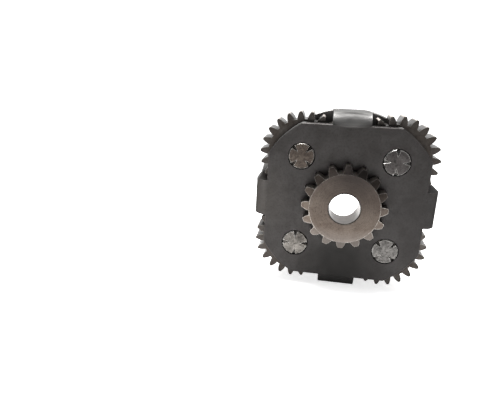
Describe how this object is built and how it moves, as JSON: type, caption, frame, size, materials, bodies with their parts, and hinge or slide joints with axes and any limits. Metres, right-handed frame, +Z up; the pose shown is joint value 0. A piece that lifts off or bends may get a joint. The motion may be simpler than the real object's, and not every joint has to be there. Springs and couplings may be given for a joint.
{
  "type": "planet carrier",
  "caption": "Square stamped cage with a round rear plate, planet gears turning on staked pins at its corners and a short toothed output gear seated in its front plate",
  "frame": {"origin": "on the shaft axis, in the plane of the front plate's front face, inside the output gear's bore", "axes": "Y is the shaft axis and points rearwards, from the front plate to the round rear plate; X is right and Z is up as seen from the front, both square to the plate's flats"},
  "size_m": [0.0804, 0.0306, 0.0804],
  "materials": {
    "front_plate": "tumbled dark satin grey sheet steel, lighter on the bends",
    "rear_plate": "dark satin grey steel with bright rim edges",
    "output_sun_gear": "ground steel with a brownish oil film, bright worn tooth ends",
    "planet_gear_1": "dark hardened steel with brown oil tints and bright tooth lands",
    "planet_gear_2": "dark hardened steel with brown oil tints and bright tooth lands",
    "planet_gear_3": "dark hardened steel with brown oil tints and bright tooth lands",
    "planet_gear_4": "dark hardened steel with brown oil tints and bright tooth lands",
    "planet_pin_1": "staked steel end, brownish",
    "planet_pin_2": "staked steel end, dark with bright nicks",
    "planet_pin_3": "staked steel end, light grey",
    "planet_pin_4": "staked steel end, light grey",
    "planet_bush_1": "oiled bronze",
    "planet_bush_2": "oiled bronze",
    "planet_bush_3": "oiled bronze",
    "planet_bush_4": "oiled bronze",
    "front_washer_1": "hardened steel shim",
    "front_washer_2": "hardened steel shim",
    "front_washer_3": "hardened steel shim",
    "front_washer_4": "hardened steel shim",
    "rear_washer_1": "hardened steel shim",
    "rear_washer_2": "hardened steel shim",
    "rear_washer_3": "hardened steel shim",
    "rear_washer_4": "hardened steel shim"
  },
  "bodies": {
    "carrier": {"front_plate": "front_plate", "rear_plate": "rear_plate", "output_sun_gear": "output_sun_gear", "planet_pin_1": "planet_pin_1", "planet_pin_2": "planet_pin_2", "planet_pin_3": "planet_pin_3", "planet_pin_4": "planet_pin_4", "front_washer_1": "front_washer_1", "front_washer_2": "front_washer_2", "front_washer_3": "front_washer_3", "front_washer_4": "front_washer_4", "rear_washer_1": "rear_washer_1", "rear_washer_2": "rear_washer_2", "rear_washer_3": "rear_washer_3", "rear_washer_4": "rear_washer_4"},
    "planet_1": {"planet_gear_1": "planet_gear_1", "planet_bush_1": "planet_bush_1"},
    "planet_2": {"planet_gear_2": "planet_gear_2", "planet_bush_2": "planet_bush_2"},
    "planet_3": {"planet_gear_3": "planet_gear_3", "planet_bush_3": "planet_bush_3"},
    "planet_4": {"planet_gear_4": "planet_gear_4", "planet_bush_4": "planet_bush_4"}
  },
  "joints": [
    {"name": "planet_1_spin", "type": "hinge", "parent": "carrier", "child": "planet_1", "pos_m": [-0.02021, 0.01151, 0.02021], "axis": [0, 1, 0], "continuous": true},
    {"name": "planet_2_spin", "type": "hinge", "parent": "carrier", "child": "planet_2", "pos_m": [0.02021, 0.01151, 0.02021], "axis": [0, 1, 0], "continuous": true},
    {"name": "planet_3_spin", "type": "hinge", "parent": "carrier", "child": "planet_3", "pos_m": [0.02021, 0.01151, -0.02021], "axis": [0, 1, 0], "continuous": true},
    {"name": "planet_4_spin", "type": "hinge", "parent": "carrier", "child": "planet_4", "pos_m": [-0.02021, 0.01151, -0.02021], "axis": [0, 1, 0], "continuous": true}
  ]
}
